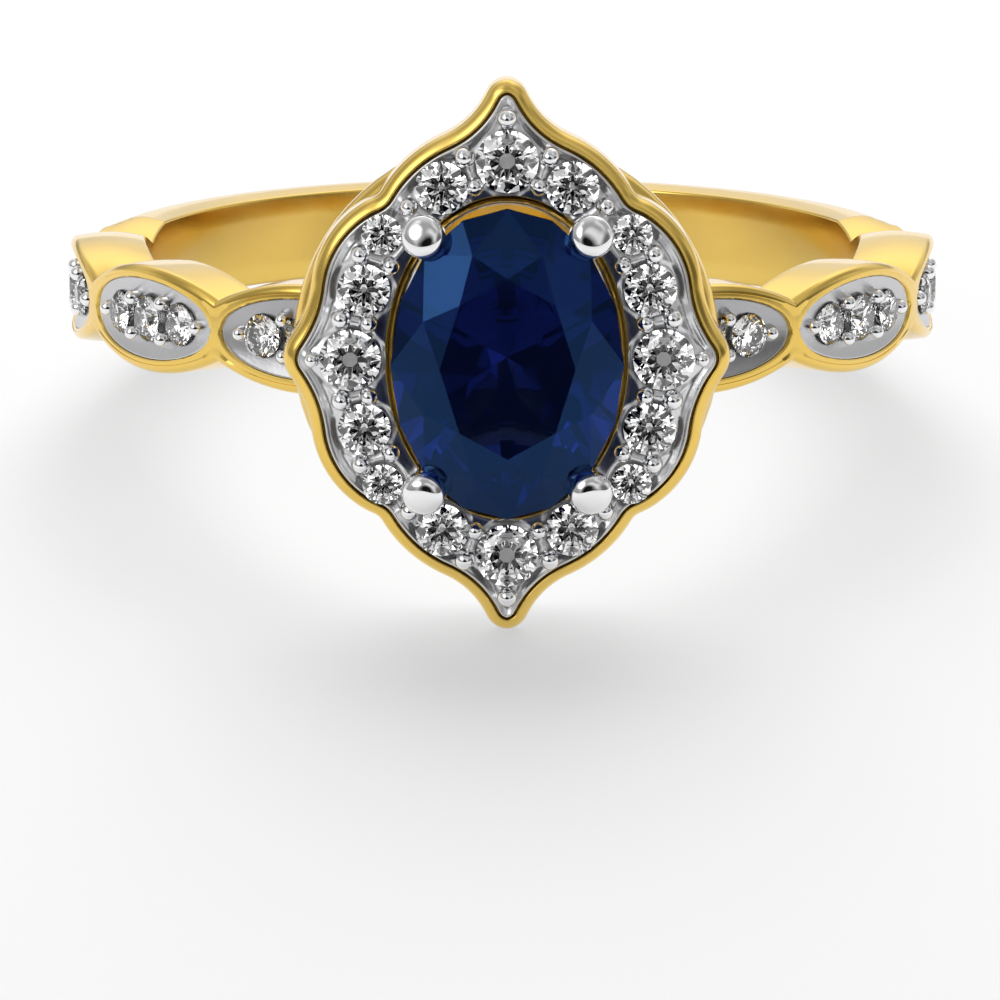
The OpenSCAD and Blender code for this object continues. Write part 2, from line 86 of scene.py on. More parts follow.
# Head, heights above the bore
FRAME_BACK, FRAME_FRONT, PLATE_FRONT = 1.5, 2.4, 2.55
PLATE_BACK, PLATE_EDGE_H = 2.08, 2.4
RIM_W, OPEN_X, OPEN_Z, WALL_STEP = 0.28, 2.7, 3.66, 0.2
GIRDLE, DOME_H = 3.15, 0.12
BACK_HOLE_SHARE, BACK_HOLE_DEPTH = 0.55, 0.45
CLAW_R, STEM_R = 0.5, 0.36
CLAW_FOOT, CLAW_TIP = (1.36, 2.12, 0.7), (1.86, 2.89, GIRDLE + DOME_H)
HALO_STONES = [(0, 4.47, 0.71), (1.46, 3.88, 0.6), (2.79, 2.83, 0.46), (3.2, 1.58, 0.6), (3.51, 0, 0.7)]
HALO_BEADS = [
    (0, 5.42, 0.23), (0.95, 4.56, 0.24), (0.72, 3.9, 0.22), (2.19, 3.44, 0.22), (3.27, 2.37, 0.23),
    (2.6, 2.12, 0.22), (3.71, 0.92, 0.24), (3.1, 0.83, 0.22), (4.37, 0, 0.18),
]


def smooth(x, low, high):
    """0 below low, 1 above high, and an even S between them."""
    s = np.clip((np.asarray(x, float) - low) / (high - low), 0, 1)
    return s * s * (3 - 2 * s)


def mirrored(points):
    """A quarter's (x, z, radius) entries in all four quarters, with none repeated on an axis."""
    return [(sx * x, sz * z, r) for sx in (1, -1) for sz in (1, -1) for x, z, r in points
            if (sx > 0 or x > 0) and (sz > 0 or z > 0)]


# ---------- Materials ----------
def principled(name, **values):
    """A material, its node tree and its shader, with values set on the shader's own sockets."""
    m = bpy.data.materials.new(name)
    m.use_nodes = True
    shader = m.node_tree.nodes["Principled BSDF"]
    for key, value in values.items():
        shader.inputs[key.replace("_", " ")].default_value = value
    return m, m.node_tree, shader


def add_noise(tree, shader, scale, low, high, bump_scale, bump_mm):
    """Roughness that drifts between low and high, and fine bumps of a given height."""
    nodes, links = tree.nodes, tree.links
    coord = nodes.new("ShaderNodeTexCoord")
    slow = nodes.new("ShaderNodeTexNoise")
    slow.inputs["Scale"].default_value = scale
    slow.inputs["Detail"].default_value = 3
    spread = nodes.new("ShaderNodeMapRange")
    spread.inputs["From Min"].default_value, spread.inputs["From Max"].default_value = 0.3, 0.7
    spread.inputs["To Min"].default_value, spread.inputs["To Max"].default_value = low, high
    fine = nodes.new("ShaderNodeTexNoise")
    fine.inputs["Scale"].default_value = bump_scale
    fine.inputs["Detail"].default_value = 2
    bump = nodes.new("ShaderNodeBump")
    bump.inputs["Strength"].default_value = 1.0
    bump.inputs["Distance"].default_value = bump_mm * MM
    links.new(coord.outputs["Object"], slow.inputs["Vector"])
    links.new(coord.outputs["Object"], fine.inputs["Vector"])
    links.new(slow.outputs["Fac"], spread.inputs["Value"])
    links.new(spread.outputs["Result"], shader.inputs["Roughness"])
    links.new(fine.outputs["Fac"], bump.inputs["Height"])
    links.new(bump.outputs["Normal"], shader.inputs["Normal"])
    return slow


gold, tree, shader = principled(
    "polished_yellow_gold", Metallic=1.0, Coat_Weight=0.5, Coat_Roughness=0.08, Coat_IOR=1.6)
drift = add_noise(tree, shader, scale=350, low=0.15, high=0.27, bump_scale=2600, bump_mm=0.0012)
ramp = tree.nodes.new("ShaderNodeValToRGB")
DEEP_GOLD, PALE_GOLD = (0.84, 0.56, 0.1, 1), (0.9, 0.62, 0.14, 1)
deep, pale = ramp.color_ramp.elements
deep.position, deep.color = 0.3, DEEP_GOLD
pale.position, pale.color = 0.7, PALE_GOLD
tree.links.new(drift.outputs["Fac"], ramp.inputs["Fac"])
tree.links.new(ramp.outputs["Color"], shader.inputs["Base Color"])

satin, tree, shader = principled("satin_white_gold", Metallic=1.0, Base_Color=(0.78, 0.78, 0.79, 1))
add_noise(tree, shader, scale=900, low=0.26, high=0.4, bump_scale=9000, bump_mm=0.004)

# Painted shade: the link plates get darker greys than the halo's plate, the front ones darkest, standing in
# for the shade they sit in; the metal is the same white gold throughout
link_satins_painted_shade = []
for name, grey in (("front", 0.44), ("middle", 0.6), ("back", 0.6)):
    look, tree, shader = principled(
        "satin_white_gold_" + name, Metallic=1.0, Base_Color=(grey, grey, grey + 0.01, 1))
    add_noise(tree, shader, scale=1200, low=0.24, high=0.36, bump_scale=9000, bump_mm=0.004)
    link_satins_painted_shade.append(look)

polished, tree, shader = principled("polished_white_gold", Metallic=1.0, Base_Color=(0.9, 0.9, 0.91, 1))
add_noise(tree, shader, scale=600, low=0.03, high=0.08, bump_scale=2500, bump_mm=0.0006)

diamond, tree, shader = principled(
    "diamond", Base_Color=(1, 1, 1, 1), Roughness=0.0, IOR=2.417, Transmission_Weight=1.0)

sapphire, tree, shader = principled(
    "sapphire", Base_Color=(0.01, 0.022, 0.12, 1), Roughness=0.0, IOR=1.77, Transmission_Weight=0.85,
    Specular_IOR_Level=1.0, Specular_Tint=(0.08, 0.27, 0.72, 1))
absorb = tree.nodes.new("ShaderNodeVolumeAbsorption")
absorb.inputs["Color"].default_value = (0.22, 0.25, 0.68, 1)
absorb.inputs["Density"].default_value = 300
tree.links.new(absorb.outputs["Volume"], tree.nodes["Material Output"].inputs["Volume"])


# ---------- Meshes ----------
def add_piece(name, points, faces, material, replaced=(), sharp=35):
    """A piece from points in the ring's own frame, riding on the one body."""
    mesh = bpy.data.meshes.new(name)
    mesh.from_pydata([tuple(p) for p in points], [], [tuple(f) for f in faces])
    mesh.transform(RING)
    mesh.validate()
    mesh.shade_smooth()
    mesh.set_sharp_from_angle(angle=math.radians(sharp))
    mesh.materials.append(material)
    piece = bpy.data.objects.new(name, mesh)
    bpy.context.scene.collection.objects.link(piece)
    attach(piece, "root")
    piece.visible_diffuse = False
    if replaced:
        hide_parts(*replaced)
    return piece


def grid_faces(rows, columns, close_rows=False, close_columns=False, flip=False, start=0):
    """Quads over a grid of points stored row by row."""
    out = []
    for i in range(rows if close_rows else rows - 1):
        for j in range(columns if close_columns else columns - 1):
            a, b = i * columns + j, i * columns + (j + 1) % columns
            c, d = (i + 1) % rows * columns + (j + 1) % columns, (i + 1) % rows * columns + j
            quad = (a, d, c, b) if flip else (a, b, c, d)
            out.append(tuple(start + q for q in quad))
    return out


def circle_through(a, b, c):
    """Centre of the circle through three points."""
    (ax, ay), (bx, by), (cx, cy) = a, b, c
    d = 2 * (ax * (by - cy) + bx * (cy - ay) + cx * (ay - by))
    sa, sb, sc = ax * ax + ay * ay, bx * bx + by * by, cx * cx + cy * cy
    return np.array([(sa * (by - cy) + sb * (cy - ay) + sc * (ay - by)) / d,
                     (sa * (cx - bx) + sb * (ax - cx) + sc * (bx - ax)) / d])


def arc(a, b, c, n=40):
    """n points on the arc from a through b to c, leaving out c."""
    o = circle_through(a, b, c)
    a, b, c = (np.array(p, float) for p in (a, b, c))
    start = math.atan2(*(a - o)[::-1])
    end = math.atan2(*(c - o)[::-1])
    turn = np.cross(b - a, c - b)
    sweep = (end - start) % math.tau if turn > 0 else -((start - end) % math.tau)
    t = start + sweep * np.arange(n) / n
    return o + np.linalg.norm(a - o) * np.stack([np.cos(t), np.sin(t)], 1)


def link_angle(k):
    """Angle from the head to the middle of link k."""
    return math.radians(FIRST_JOINT + (k - 0.5) * PITCH)


def ray(angle):
    """Unit vectors outward and along the band, in the XY plane, at an angle from the head."""
    return np.array([math.sin(angle), -math.cos(angle)]), np.array([math.cos(angle), math.sin(angle)])


joint = math.radians(FIRST_JOINT + PITCH)
joint_r = math.sqrt(FACE_R**2 - (FACE_SHIFT * math.sin(joint))**2) - FACE_SHIFT * math.cos(joint)
joint_point = joint_r * ray(joint)[0]
normal_angle = math.atan2(joint_point[1] - FACE_SHIFT, joint_point[0]) + math.radians(END_TURN)
COMMON_FACE = (np.array([0, FACE_SHIFT]), FACE_R)
end_normal = np.array([math.cos(normal_angle), math.sin(normal_angle)])
END_FACE = (joint_point - END_FACE_R * end_normal, END_FACE_R)
# At the start of the plain band its face has moved out by this share of BAND_SHIFT, 1 + cos(99.4)
SIDE_SHARE = 0.84
BAND_SHIFT = (BAND_SIDE - BAND_WALL) / SIDE_SHARE
BAND_FACE = (np.array([0, -BAND_SHIFT]), BORE_R + BAND_WALL + BAND_SHIFT)


def reach(face, angle):
    """Distance from the bore's axis to a face circle along the ray at an angle."""
    centre, r = face
    along = centre @ ray(angle)[0]
    return along + math.sqrt(along * along - centre @ centre + r * r)


def rise(face, k, t):
    """Distance to a face circle along link k's own direction, at t along the link."""
    out, along = ray(link_angle(k))
    centre, r = face
    return out @ centre + np.sqrt(r * r - (t - along @ centre)**2)


def link_face(k):
    """The circle that link k's outer face follows."""
    return END_FACE if k == 2 else COMMON_FACE


def lens(t, half_w=LINK_W):
    """Half width of a link at t along it, between two arcs that meet at its ends."""
    r = (LINK_LEN**2 + half_w**2) / (2 * half_w)
    return np.sqrt(np.maximum(r * r - t * t, 0)) + half_w - r


# ---------- Band ----------
def band_row(deg):
    """One section of the band at an angle from the head: a closed loop of points (radius, z)."""
    phi = math.radians(deg)
    k = int(np.clip((deg - FIRST_JOINT) // PITCH + 1, 0, 3))
    start = link_angle(3)
    if deg < PLAIN_START:
        outer = reach(COMMON_FACE if deg < FIRST_JOINT + PITCH else END_FACE, phi)
        growth = float(smooth(deg, BRIDGE_END, LINK_FULL))
        outer = BORE_R + BRIDGE_WALL + (outer - BORE_R - BRIDGE_WALL) * growth
    else:
        outer = reach(BAND_FACE, phi)
        link_share = float(1 - smooth(deg, PLAIN_START, PLAIN_BLEND_END))
        outer = outer + (reach(END_FACE, phi) - outer) * link_share

    def half_w(r):
        w = lens(r * np.sin(phi - link_angle(k)))
        if deg < BRIDGE_WIDE_END:
            w = np.maximum(w, BRIDGE_W)
        if k == 3:
            plain = BAND_W - (BAND_W - BAND_EDGE_W) * smooth(r, BORE_R + TAPER_START, outer)
            w = plain if phi > start else np.minimum(w, plain)
        middle, half_wall = (BORE_R + outer) / 2, (outer - BORE_R) / 2
        crown = SIDE_CROWN * float(smooth(deg, CROWN_START, CROWN_FULL))
        return w - crown * ((r - middle) / half_wall)**2

    round_r = LINK_ROUND if k < 3 else BAND_ROUND
    w0 = float(half_w(BORE_R + INNER_ROUND))
    rows = [(BORE_R, 0.0), (BORE_R, 0.5 * w0)]
    for x in np.linspace(0, math.pi / 2, 5):
        rows.append((BORE_R + INNER_ROUND * (1 - math.cos(x)), w0 - INNER_ROUND + INNER_ROUND * math.sin(x)))
    for r in np.linspace(BORE_R + INNER_ROUND, outer - round_r, 7)[1:]:
        rows.append((r, float(half_w(r))))
    w1 = rows[-1][1]
    for x in np.linspace(0, math.pi / 2, 8)[1:]:
        rows.append((outer - round_r + round_r * math.sin(x), w1 - round_r + round_r * math.cos(x)))
    top = w1 - round_r
    edge = 0.0
    if k < 3:
        t = outer * math.sin(phi - link_angle(k))
        edge = PLATE_W * math.sqrt(max(0, 1 - (t / PLATE_LEN)**2))
    edge = min(edge, top - 0.02)
    # Across the face, with the points close together where the pocket's wall is
    above, below = edge + 0.08, edge - 0.12
    z = np.concatenate([np.linspace(top, above, 5)[1:],
                        np.linspace(above, below, 9)[1:],
                        np.linspace(below, 0, 6)[1:]])
    z = np.maximum.accumulate(np.maximum(z, 0)[::-1])[::-1]
    drop = LINK_FALL * (z / max(top, 0.1))**2 if k < 3 else BAND_FALL * (z / top)**2
    if k < 3:
        q = np.sqrt((t / PLATE_LEN)**2 + (z / PLATE_W)**2) + 1e-6
        slope = np.sqrt((t / PLATE_LEN**2)**2 + (z / PLATE_W**2)**2) / q + 1e-6
        inside = (1 - q) / slope
        drop = drop + 0.01 * smooth(inside, -0.04, 0.0) + POCKET_DEPTH * smooth(inside, -0.01, 0.05)
    rows += [(max(outer - d, BORE_R + POCKET_FLOOR), zz) for d, zz in zip(drop, z)]
    half = np.array(rows)
    other = half[1:-1][::-1] * [1, -1]
    return np.concatenate([half, other])


degs = np.unique(np.round(np.concatenate([
    np.arange(0, BRIDGE_END, COARSE_STEP), np.arange(BRIDGE_END, FINE_END, FINE_STEP),
    np.arange(FINE_END, 180.1, COARSE_STEP),
    [FIRST_JOINT, FIRST_JOINT + PITCH, FIRST_JOINT + 2 * PITCH]]), 3))
right = [band_row(d) for d in degs]
sections = right + [s for s in right[1:-1][::-1]]
turns = np.concatenate([degs, -degs[1:-1][::-1]])
points = []
for section, deg in zip(sections, turns):
    out = ray(math.radians(deg))[0]
    points += [(r * out[0], r * out[1], z) for r, z in section]
faces = grid_faces(len(sections), len(sections[0]), close_rows=True, close_columns=True)
add_piece("band_gold", points, faces, gold, ["band"], sharp=30)


# ---------- Link plates and their beads ----------
def dome(centre, out, side, r, height, n=20, rings=7):
    """A round bead: a short stem with a domed top."""
    stem = 0.2
    centre, out, side = Vector(centre), Vector(out).normalized(), Vector(side).normalized()
    across = out.cross(side)
    points = [centre + out * height]
    for i in range(1, rings + 1):
        a = math.pi / 2 * i / rings
        for j in range(n):
            b = math.tau * j / n
            spoke = side * math.cos(b) + across * math.sin(b)
            points.append(centre + out * (height * math.cos(a)) + spoke * r * math.sin(a))
    for j in range(n):
        b = math.tau * j / n
        points.append(centre - out * stem + (side * math.cos(b) + across * math.sin(b)) * r)
    points.append(centre - out * stem)
    faces = [(0, 1 + j, 1 + (j + 1) % n) for j in range(n)]
    faces += grid_faces(rings + 1, n, close_columns=True, flip=True, start=1)
    last = 1 + rings * n
    faces += [(last + n, last + (j + 1) % n, last + j) for j in range(n)]
    return [tuple(p) for p in points], faces


def joined(parts):
    """Several meshes as one list of points and one of faces."""
    points, faces = [], []
    for p, f in parts:
        faces += [tuple(i + len(points) for i in face) for face in f]
        points += p
    return points, faces


def pave_plate(k, side):
    """The white plate of link k on one side, dished and cut with a seat for each stone, and its beads."""
    out, along = ray(link_angle(k))
    rings, n = 44, 144
    stones = []
    for i, r in ((-1, LINK_SMALL_R), (0, LINK_STONE_R), (1, LINK_SMALL_R)):
        offset = i * LINK_STEP
        distance = reach(link_face(k), link_angle(k) + offset)
        stones.append((distance * math.sin(offset), r))
    points = []
    for i in range(rings + 1):
        rho = max(i / rings, 1e-4)
        for j in range(n):
            a = math.tau * j / n
            t, z = PLATE_LEN * rho * math.cos(a) * PLATE_REACH, PLATE_W * rho * math.sin(a) * PLATE_REACH
            drop = PLATE_TOP + PLATE_DISH * (1 - rho**2.5) + PLATE_ROLL * float(smooth(rho, 0.97, 1.0))
            for x, r in stones:
                d = math.hypot(t - x, z)
                drop += max(0.0, r - 0.02 - d)
            h = float(rise(link_face(k), k, t)) - drop
            p = out * h + along * t
            points.append((side * p[0], p[1], z))
    last = len(points)
    for j in range(n):
        a = math.tau * j / n
        t, z = PLATE_LEN * math.cos(a), PLATE_W * math.sin(a)
        h = float(rise(link_face(k), k, t)) - PLATE_DEPTH
        p = out * h + along * t
        points.append((side * p[0], p[1], z))
    faces = grid_faces(rings + 2, n, close_columns=True, flip=side < 0)
    faces.append(tuple(range(n))[::1 if side < 0 else -1])
    faces.append(tuple(range(last, last + n))[::-1 if side < 0 else 1])
    name = ["front", "middle", "back"][k]
    where = "right" if side > 0 else "left"
    # Painted shade: the plate takes its link's darkened grey, which stands in for shade
    add_piece(f"plate_{where}_{name}", points, faces, link_satins_painted_shade[k],
              [f"pave_plate_{where}_{name}"], sharp=50)
    # One bead past each end stone, and a pair between neighbours
    beads = []
    places = [(-1.52, 0), (1.52, 0)] + [(s, u * LINK_BEAD_SIDE) for s in (-0.5, 0.5) for u in (-1, 1)]
    for steps, z in places:
        angle = link_angle(k) + steps * LINK_STEP
        o, a = ray(angle)
        h = reach(link_face(k), angle) - LINK_RECESS - 0.03
        beads.append(dome(
            (side * h * o[0], h * o[1], z), (side * o[0], o[1], 0), (0, 0, 1), LINK_BEAD_R, height=0.24))
    points, faces = joined(beads)
    add_piece(f"beads_{where}_{name}", points, faces, polished, sharp=60)


for k in range(3):
    for side in (1, -1):
        pave_plate(k, side)

# ---------- Halo ----------
# A quarter of the outline, from the side point up to the top point: arcs through named points
side_point, side_round, side_in = (5.02, 0), (4.985, 0.21), (4.88, 0.42)
side_neck, lobe_low, lobe_middle = (4.6, 0.9), (4.4, 1.6), (4.0, 2.74)
notch_low, notch_middle, notch_high = (3.06, 3.57), (2.88, 3.65), (2.8, 3.78)
upper_lobe_middle, lobe_high, point_neck = (2.15, 4.54), (1.37, 5.02), (0.76, 5.48)
point_in, point_round, top_point = (0.42, 6.03), (0.22, 6.2), (0, 6.27)
quarter = np.concatenate([
    arc(side_point, side_round, side_in, 20),
    arc(side_in, side_neck, lobe_low),
    arc(lobe_low, lobe_middle, notch_low, 60),
    arc(notch_low, notch_middle, notch_high, 12),
    arc(notch_high, upper_lobe_middle, lobe_high),
    arc(lobe_high, point_neck, point_in),
    arc(point_in, point_round, top_point, 20)])
half = np.concatenate([quarter, [top_point], (quarter[1:] * [-1, 1])[::-1]])
outline = np.concatenate([half, -half])
LOOP_POINTS = 720


def resample(loop, n):
    """n points at even distances round a closed loop."""
    closed = np.concatenate([loop, loop[:1]])
    s = np.concatenate([[0], np.cumsum(np.linalg.norm(np.diff(closed, axis=0), axis=1))])
    t = np.linspace(0, s[-1], n + 1)[:-1]
    return np.stack([np.interp(t, s, closed[:, i]) for i in (0, 1)], 1)


def blurred(loop, sigma):
    """A closed loop with its corners eased over sigma points."""
    k = np.arange(-4 * sigma, 4 * sigma + 1)
    weight = np.exp(-0.5 * (k / sigma)**2)
    weight /= weight.sum()
    return sum(w * np.roll(loop, int(j), axis=0) for w, j in zip(weight, k))


outline = blurred(resample(outline, LOOP_POINTS), 2)
normal = np.roll(outline, -1, 0) - np.roll(outline, 1, 0)
normal = np.stack([normal[:, 1], -normal[:, 0]], 1) / np.linalg.norm(normal, axis=1)[:, None]
angle = np.arctan2(outline[:, 1] / OPEN_Z, outline[:, 0] / OPEN_X)
stones = np.array(mirrored(HALO_STONES))
beads = mirrored(HALO_BEADS)


def oval(x, z):
    """An oval with one point for each point of the outline."""
    return np.stack([x * np.cos(angle), z * np.sin(angle)], 1)


def inset(d):
    """The halo's outline, moved inward."""
    return outline - d * normal


def on_head(loop, height):
    """Head coordinates (x, z, height above the bore) to the ring's own frame."""
    h = np.broadcast_to(height, len(loop))
    return [(x, -BORE_R - y, z) for (x, z), y in zip(loop, h)]


def to_stones(loop):
    """Distance of each point from the nearest stone's girdle, positive outside."""
    d = np.linalg.norm(loop[:, None, :] - stones[None, :, :2], axis=2) - stones[None, :, 2]
    return d.min(1)


# Gold frame: outer wall, rounded rim, pocket, wall of the opening, and a back drilled behind each stone
rim_r, rim_turn = 0.376, math.radians(68)
BACK_BEVEL = 0.04
rows = [(inset(BACK_BEVEL), FRAME_BACK), (inset(0.0), FRAME_BACK + BACK_BEVEL)]
rows += [(inset(0.0), h) for h in np.linspace(FRAME_BACK + 0.1, FRAME_FRONT - rim_r * math.sin(rim_turn), 4)]
rows += [(inset(rim_r * (1 - math.cos(a))), FRAME_FRONT - rim_r * (math.sin(rim_turn) - math.sin(a)))
         for a in np.linspace(0, rim_turn, 12)[1:]]
# Inner edge of the rim: distance in from the outline, and fall from the rim's ridge
rim_edge = [(0.245, 0.0), (0.255, 0.008), (0.265, 0.025), (0.273, 0.05)]
rim_edge += [(RIM_W - 0.002, 0.08), (RIM_W, 0.12), (RIM_W, 0.34)]
rows += [(inset(d), FRAME_FRONT - drop) for d, drop in rim_edge]
# Wall of the opening: distance in from the plate's opening, and height
opening_wall = [(0.03, 2.06), (0.06, 2.36), (0.1, 2.39), (WALL_STEP, 2.2), (WALL_STEP, FRAME_BACK + 0.05)]
rows += [(oval(OPEN_X - d, OPEN_Z - d), h) for d, h in opening_wall]
inner, outer = oval(OPEN_X - WALL_STEP + 0.05, OPEN_Z - WALL_STEP + 0.05), inset(BACK_BEVEL)
rows.append((inner, FRAME_BACK))
back_rows = 46
for s in np.linspace(0, 1, back_rows)[1:-1]:
    loop = inner + (outer - inner) * s
    holes = BACK_HOLE_SHARE * stones[None, :, 2]
    d = np.linalg.norm(loop[:, None, :] - stones[None, :, :2], axis=2) - holes
    rows.append((loop, FRAME_BACK + BACK_HOLE_DEPTH * smooth(-d.min(1), -0.04, 0.06)))
points = [p for loop, h in rows for p in on_head(loop, h)]
faces = grid_faces(len(rows), LOOP_POINTS, close_rows=True, close_columns=True)
add_piece("halo_gold_frame", points, faces, gold, ["halo_frame"], sharp=50)

# White plate: thin bright edge, shallow cove, seats for the stones, rounded lip at the opening
# Its outer edge: distance in from the rim, and height
plate_edge = [(0.04, PLATE_BACK), (0.04, 2.3), (0.04, 2.37), (0.048, PLATE_EDGE_H)]
plate_edge += [(0.065, 2.415), (0.085, 2.42), (0.105, 2.41)]
rows = [(inset(RIM_W + d), h) for d, h in plate_edge]
plate_rows = 72
# Depth of the cove inside the edge, of the dip round each stone and of the fall at the opening,
# and the slope of the stones' seats
COVE, STONE_DIP, LIP_FALL, SEAT_SLOPE = 0.07, 0.07, 0.16, 1.2
inner, outer = oval(OPEN_X + 0.04, OPEN_Z + 0.04), inset(RIM_W + 0.12)
for s in np.linspace(0, 1, plate_rows):
    loop = outer + (inner - outer) * s
    edge = np.linalg.norm(outer - loop, axis=1)
    gap = to_stones(loop)
    cove = COVE * np.exp(-((edge - 0.17) / 0.13)**2)
    h = PLATE_EDGE_H + (PLATE_FRONT - PLATE_EDGE_H) * smooth(edge, 0.1, 0.6) - cove
    h = h - STONE_DIP * (1 - smooth(gap, 0.0, 0.16)) - SEAT_SLOPE * np.maximum(0, -gap - 0.02)
    h = h - LIP_FALL * (1 - smooth(np.linalg.norm(loop - inner, axis=1), -0.02, 0.34))
    rows.append((loop, h))
lip = [(0.012, PLATE_FRONT - 0.2), (0, PLATE_FRONT - 0.25), (0, PLATE_BACK)]
rows += [(oval(OPEN_X + d, OPEN_Z + d), h) for d, h in lip]
points = [p for loop, h in rows for p in on_head(loop, h)]
faces = grid_faces(len(rows), LOOP_POINTS, close_rows=True, close_columns=True)
add_piece("halo_white_plate", points, faces, satin, ["halo_plate"], sharp=50)

BEAD_SUNK, BEAD_EXTRA = 0.04, 0.06
points, faces = joined([
    dome((x, -BORE_R - PLATE_FRONT + BEAD_SUNK, z), (0, -1, 0), (1, 0, 0), r, r + BEAD_EXTRA)
    for x, z, r in beads])
add_piece("halo_beads", points, faces, polished, sharp=60)


# ---------- Claws ----------
def claw(sx, sz, name):
    """A claw leaning outward from the rail, with a round polished tip."""
    foot = Vector((sx * CLAW_FOOT[0], -BORE_R - CLAW_FOOT[2], sz * CLAW_FOOT[1]))
    tip = Vector((sx * CLAW_TIP[0], -BORE_R - CLAW_TIP[2], sz * CLAW_TIP[1]))
    axis = (tip - foot).normalized()
    length = (tip - foot).length
    u = axis.cross(Vector((0, 0, 1))).normalized()
    v = axis.cross(u)
    # Distance along the claw and its radius there
    profile = [(0, 0.3), (0.05, 0.35), (0.4, STEM_R), (length - 0.6, STEM_R)]
    profile += [(length - 0.3, 0.42), (length - 0.14, 0.48), (length - 0.04, CLAW_R)]
    tip_h, tip_rings = 0.36, 11
    for i in range(1, tip_rings):
        a = math.pi / 2 * i / tip_rings
        profile.append((length + tip_h * math.sin(a)**0.9, CLAW_R * math.cos(a)**0.75))
    n = 40
    points = []
    for s, r in profile:
        for j in range(n):
            b = math.tau * j / n
            points.append(foot + axis * s + (u * math.cos(b) + v * math.sin(b)) * r)
    points += [foot, foot + axis * (length + tip_h + 0.002)]
    faces = grid_faces(len(profile), n, close_columns=True)
    last = (len(profile) - 1) * n
    base, top = len(points) - 2, len(points) - 1
    faces += [(base, (j + 1) % n, j) for j in range(n)]
    faces += [(top, last + j, last + (j + 1) % n) for j in range(n)]
    add_piece("polished_" + name, points, faces, polished, [name], sharp=60)


for vertical, sz in (("upper", 1), ("lower", -1)):
    for horizontal, sx in (("right", 1), ("left", -1)):
        claw(sx, sz, f"claw_{vertical}_{horizontal}")

# ---------- CAD nodes that keep their shape ----------
for name, node in NODES.items():
    if name == "blue_stone":
        look = sapphire
    elif name.startswith(("halo_diamond", "link_diamond")):
        look = diamond
    elif name == "gallery_collar":
        look = gold
        node.data.shade_smooth()
    elif name == "claw_rail":
        look = polished
    else:
        continue
    node.visible_diffuse = False
    node.data.materials.clear()
    node.data.materials.append(look)

# ---------- Floor, light and camera ----------
floor_mesh = bpy.data.meshes.new("floor")
half_side = 1.5
corners = [(x * half_side, y * half_side, 0) for x, y in ((-1, -1), (1, -1), (1, 1), (-1, 1))]
floor_mesh.from_pydata(corners, [], [(0, 1, 2, 3)])
floor = bpy.data.objects.new("floor", floor_mesh)
bpy.context.scene.collection.objects.link(floor)
paper, tree, shader = principled("white_paper", Base_Color=(0.9, 0.9, 0.9, 1), Roughness=0.9)
shader.inputs["Emission Color"].default_value = (1, 1, 1, 1)
shader.inputs["Emission Strength"].default_value = 0.08
floor_mesh.materials.append(paper)

# Studio: grey walls that brighten upward, broken by dark and light panels in front of the head
world = bpy.data.worlds.new("studio")
bpy.context.scene.world = world
world.use_nodes = True
nodes, links = world.node_tree.nodes, world.node_tree.links
coord = nodes.new("ShaderNodeTexCoord")
split = nodes.new("ShaderNodeSeparateXYZ")
links.new(coord.outputs["Generated"], split.inputs["Vector"])


def ramp_of(source, stops, low=0.0, high=1.0):
    """Grey levels by a value between low and high."""
    spread = nodes.new("ShaderNodeMapRange")
    spread.inputs["From Min"].default_value, spread.inputs["From Max"].default_value = low, high
    ramp = nodes.new("ShaderNodeValToRGB")
    ramp.color_ramp.elements.remove(ramp.color_ramp.elements[1])
    for i, (position, grey) in enumerate(stops):
        stop = ramp.color_ramp.elements[0] if i == 0 else ramp.color_ramp.elements.new(position)
        stop.position = position
        stop.color = (grey, grey, grey, 1)
    links.new(source, spread.inputs["Value"])
    links.new(spread.outputs["Result"], ramp.inputs["Fac"])
    return ramp.outputs["Color"]


def times(a, b):
    """One light pattern dimmed or brightened by another."""
    product = nodes.new("ShaderNodeVectorMath")
    product.operation = "MULTIPLY"
    links.new(a, product.inputs[0])
    links.new(b, product.inputs[1])
    return product.outputs["Vector"]


def toward(direction, inner, outer, level):
    """1 away from a direction, falling to level within an angle of it."""
    dot = nodes.new("ShaderNodeVectorMath")
    dot.operation = "DOT_PRODUCT"
    dot.inputs[1].default_value = Vector(direction).normalized()
    links.new(coord.outputs["Generated"], dot.inputs[0])
    low, high = math.cos(math.radians(outer)), math.cos(math.radians(inner))
    return ramp_of(dot.outputs["Value"], [(0, 1), (1, level)], low, high)


def noise_panels(scale, stops):
    """Soft patches of grey all round."""
    panels = nodes.new("ShaderNodeTexNoise")
    panels.inputs["Scale"].default_value = scale
    panels.inputs["Detail"].default_value = 0
    links.new(coord.outputs["Generated"], panels.inputs["Vector"])
    return ramp_of(panels.outputs["Fac"], stops)


walls = ramp_of(split.outputs["Z"], [(0, 0.6), (0.5, 0.6), (0.58, 0.72), (0.8, 0.82), (1, 0.85)], -1, 1)
behind = ramp_of(split.outputs["Y"], [(0, 0.85), (0.5, 1.0), (1, 1.25)], -1, 1)
soft = noise_panels(1.6, [(0, 0.55), (0.4, 0.6), (0.5, 1.0), (0.62, 1.3), (1, 1.4)])
lens_hole = toward((0, -0.972, 0.235), inner=15, outer=32, level=0.02)
right_card = toward((0.93, -0.35, 0.1), inner=14, outer=32, level=0.2)
left_window = toward((-0.61, -0.5, 0.66), inner=10, outer=22, level=5.0)
roof_window = toward((0, 0.5, 0.86), inner=8, outer=42, level=1.6)
room = times(times(walls, behind), soft)
cards = times(times(lens_hole, right_card), times(left_window, roof_window))
metal_view = times(room, cards)
# Cut stones gather light from small bright and dark fields all round
sparkle = noise_panels(3.2, [(0, 0.0), (0.47, 0.0), (0.49, 1.6), (0.56, 2.2), (0.6, 5.0), (1, 6.0)])
stone_view = times(times(walls, sparkle), lens_hole)
path = nodes.new("ShaderNodeLightPath")
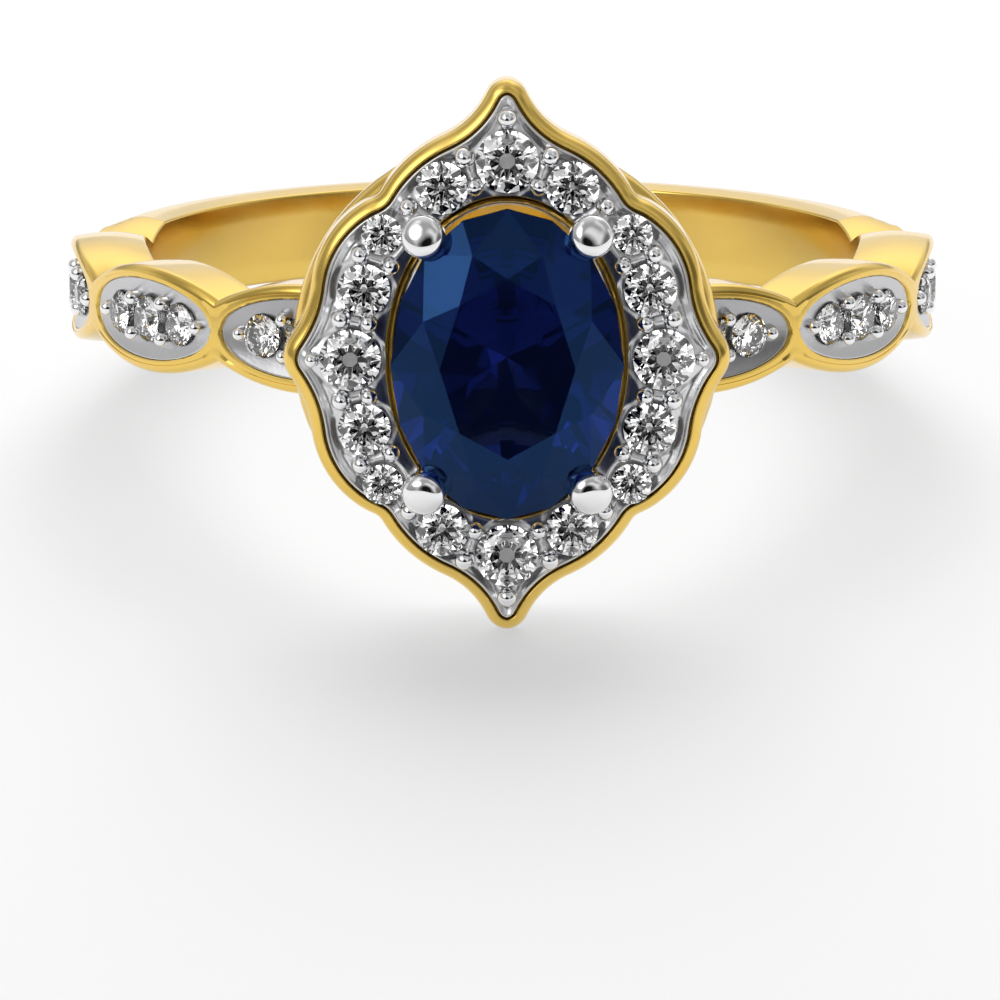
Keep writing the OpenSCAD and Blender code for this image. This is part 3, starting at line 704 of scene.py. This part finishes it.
# Where a Mix node keeps its two colours and its result
FIRST_COLOR, SECOND_COLOR, MIXED = 6, 7, 2
pick = nodes.new("ShaderNodeMix")
pick.data_type = "RGBA"
links.new(path.outputs["Is Transmission Ray"], pick.inputs["Factor"])
links.new(metal_view, pick.inputs[FIRST_COLOR])
links.new(stone_view, pick.inputs[SECOND_COLOR])
# The floor gets an even light from the studio, so that its shadows come from the softbox
even = nodes.new("ShaderNodeMix")
even.data_type = "RGBA"
links.new(path.outputs["Is Diffuse Ray"], even.inputs["Factor"])
links.new(pick.outputs[MIXED], even.inputs[FIRST_COLOR])
even.inputs[SECOND_COLOR].default_value = (0.72, 0.72, 0.72, 1)
links.new(even.outputs[MIXED], nodes["Background"].inputs["Color"])
nodes["Background"].inputs["Strength"].default_value = 0.8


def area_light(name, where, target, size, power):
    """A square lamp at a place, turned toward a target."""
    data = bpy.data.lights.new(name, "AREA")
    data.energy = power
    data.size = size
    lamp = bpy.data.objects.new(name, data)
    lamp.location = where
    lamp.rotation_euler = (Vector(target) - Vector(where)).to_track_quat("-Z", "Y").to_euler()
    bpy.context.scene.collection.objects.link(lamp)
    return lamp


softbox = area_light("main_softbox", where=(0, 0.25, 0.25), target=(0, 0.01, 0), size=0.36, power=1.0)
softbox.visible_glossy = False

# Camera: on the ring's own frame, 140 mm from the bore's centre and a little above the band's plane
DISTANCE, ELEVATION, AZIMUTH = 140.0, math.radians(9.13), math.radians(-0.532)
DOWN, HEADING = math.radians(11.31), math.radians(0.508)
level = math.cos(ELEVATION)
eye = Vector((level * math.sin(AZIMUTH), -level * math.cos(AZIMUTH), math.sin(ELEVATION))) * DISTANCE
aim = Vector((math.cos(DOWN) * math.sin(HEADING), math.cos(DOWN) * math.cos(HEADING), -math.sin(DOWN)))
turn = RING.to_3x3().normalized()
camera_data = bpy.data.cameras.new("camera")
SENSOR_MM, LENS_MM = 36, 207.648
camera_data.sensor_width = SENSOR_MM
camera_data.lens = LENS_MM
camera_data.clip_start, camera_data.clip_end = 0.005, 10
camera = bpy.data.objects.new("camera", camera_data)
forward = turn @ aim
up = turn @ Vector((0, 0, 1))
right_dir = forward.cross(up).normalized()
up = right_dir.cross(forward)
facing = Matrix((right_dir, up, -forward)).transposed().to_4x4()
camera.matrix_world = Matrix.Translation(RING @ eye) @ facing
bpy.context.scene.collection.objects.link(camera)
bpy.context.scene.camera = camera
bpy.context.scene.view_settings.view_transform = "Standard"
